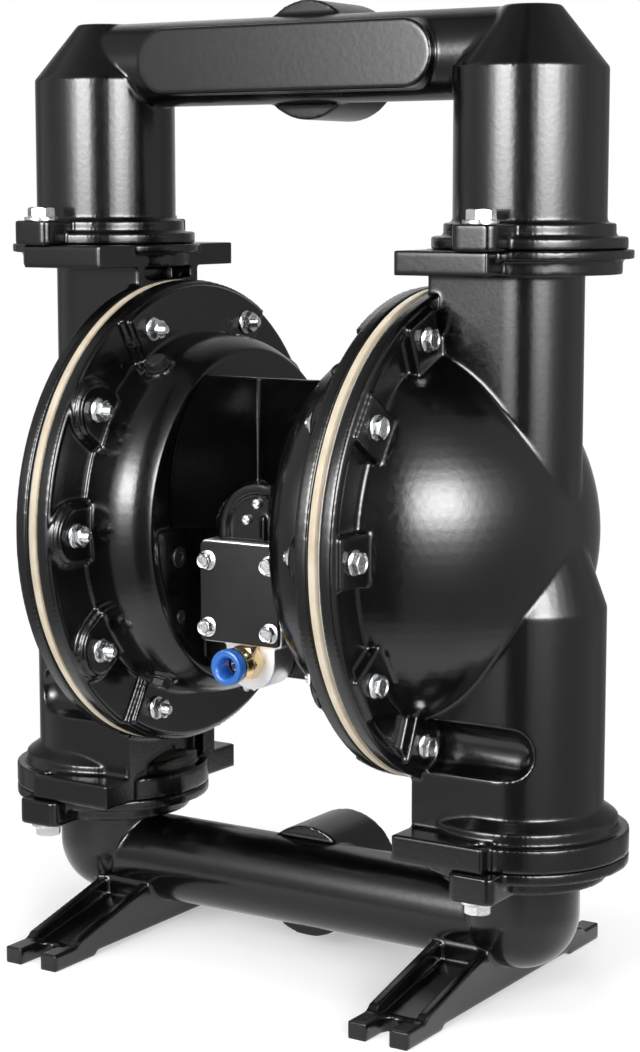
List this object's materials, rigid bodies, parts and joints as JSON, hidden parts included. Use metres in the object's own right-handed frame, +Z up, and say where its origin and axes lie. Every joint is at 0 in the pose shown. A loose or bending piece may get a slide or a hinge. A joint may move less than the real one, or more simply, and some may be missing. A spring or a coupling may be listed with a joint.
{
  "type": "air-operated double diaphragm pump",
  "caption": "Air-driven double diaphragm pump with domed fluid caps, drum-shaped air caps, a footed inlet manifold and a top outlet manifold.",
  "frame": {"origin": "on the floor under the middle of the diaphragm rod", "axes": "+X along the diaphragm rod to the right-hand chamber, +Y to the back where both ports open, +Z up"},
  "size_m": [0.496, 0.337, 0.679],
  "materials": {
    "black_paint": "gloss black paint over a cast skin",
    "black_cover": "satin black coating",
    "bare_aluminium": "machined",
    "black_rubber": "matt",
    "cream_elastomer": "matt",
    "white_fluoropolymer": "smooth",
    "stainless_steel": "ground",
    "bronze": "sintered",
    "plated_steel": "turned",
    "zinc_plated_steel": "bright zinc plate",
    "dark_steel": "black oxide",
    "brass": "turned and polished",
    "blue_plastic": "moulded",
    "black_plastic": "moulded"
  },
  "bodies": {
    "housing": {"inlet_manifold": "black_paint", "outlet_manifold": "black_paint", "left_fluid_cap": "black_paint", "right_fluid_cap": "black_paint", "left_air_cap": "black_paint", "right_air_cap": "black_paint", "center_body": "black_paint", "valve_body": "bare_aluminium", "valve_cover": "black_cover", "cover_gasket": "black_rubber", "valve_gasket": "black_rubber", "valve_sleeve": "stainless_steel", "valve_end_plugs": "dark_steel", "left_diaphragm": "white_fluoropolymer", "right_diaphragm": "white_fluoropolymer", "left_backup_diaphragm": "cream_elastomer", "right_backup_diaphragm": "cream_elastomer", "rod_bushings": "bronze", "rod_seals": "black_rubber", "pilot_bushings": "bronze", "inlet_ball_seats": "stainless_steel", "outlet_ball_seats": "stainless_steel", "inlet_seal_rings": "black_rubber", "outlet_seal_rings": "black_rubber", "left_flange_bolts": "zinc_plated_steel", "right_flange_bolts": "zinc_plated_steel", "left_flange_nuts": "zinc_plated_steel", "right_flange_nuts": "zinc_plated_steel", "inlet_manifold_bolts": "zinc_plated_steel", "outlet_manifold_bolts": "zinc_plated_steel", "cover_bolts": "zinc_plated_steel", "pilot_screws": "zinc_plated_steel", "hub_screws": "dark_steel", "air_cap_plugs": "dark_steel", "drum_plugs": "dark_steel", "grounding_screw": "zinc_plated_steel", "inlet_fitting": "brass", "grip_ring": "stainless_steel", "tube_seal": "black_rubber", "exhaust_muffler": "black_plastic"},
    "rod_set": {"diaphragm_rod": "stainless_steel", "left_inner_washer": "plated_steel", "right_inner_washer": "plated_steel", "left_outer_washer": "plated_steel", "right_outer_washer": "plated_steel", "rod_nuts": "zinc_plated_steel"},
    "pilot": {"pilot_rod": "stainless_steel"},
    "spool": {"valve_spool": "stainless_steel"},
    "left_inlet_ball": {"left_inlet_ball": "white_fluoropolymer"},
    "right_inlet_ball": {"right_inlet_ball": "white_fluoropolymer"},
    "left_outlet_ball": {"left_outlet_ball": "white_fluoropolymer"},
    "right_outlet_ball": {"right_outlet_ball": "white_fluoropolymer"},
    "collet": {"release_collet": "blue_plastic"}
  },
  "joints": [
    {"name": "rod_slide", "type": "slide", "parent": "housing", "child": "rod_set", "axis": [1, 0, 0], "range_m": [-0.026, 0.026], "deforming": ["left_diaphragm", "right_diaphragm", "left_backup_diaphragm", "right_backup_diaphragm"]},
    {"name": "pilot_slide", "type": "slide", "parent": "housing", "child": "pilot", "axis": [1, 0, 0], "range_m": [-0.005, 0.005]},
    {"name": "spool_slide", "type": "slide", "parent": "housing", "child": "spool", "axis": [1, 0, 0], "range_m": [-0.005, 0.005]},
    {"name": "left_inlet_ball_lift", "type": "slide", "parent": "housing", "child": "left_inlet_ball", "axis": [0, 0, 1], "range_m": [0, 0.014]},
    {"name": "right_inlet_ball_lift", "type": "slide", "parent": "housing", "child": "right_inlet_ball", "axis": [0, 0, 1], "range_m": [0, 0.014]},
    {"name": "left_outlet_ball_lift", "type": "slide", "parent": "housing", "child": "left_outlet_ball", "axis": [0, 0, 1], "range_m": [0, 0.014]},
    {"name": "right_outlet_ball_lift", "type": "slide", "parent": "housing", "child": "right_outlet_ball", "axis": [0, 0, 1], "range_m": [0, 0.014]},
    {"name": "collet_press", "type": "slide", "parent": "housing", "child": "collet", "axis": [0, 1, 0], "range_m": [0, 0.0018], "stiffness_N_per_m": 300}
  ],
  "couplings": [
    {"joint": "pilot_slide", "follows": "rod_slide", "ratio": 0.19}
  ]
}
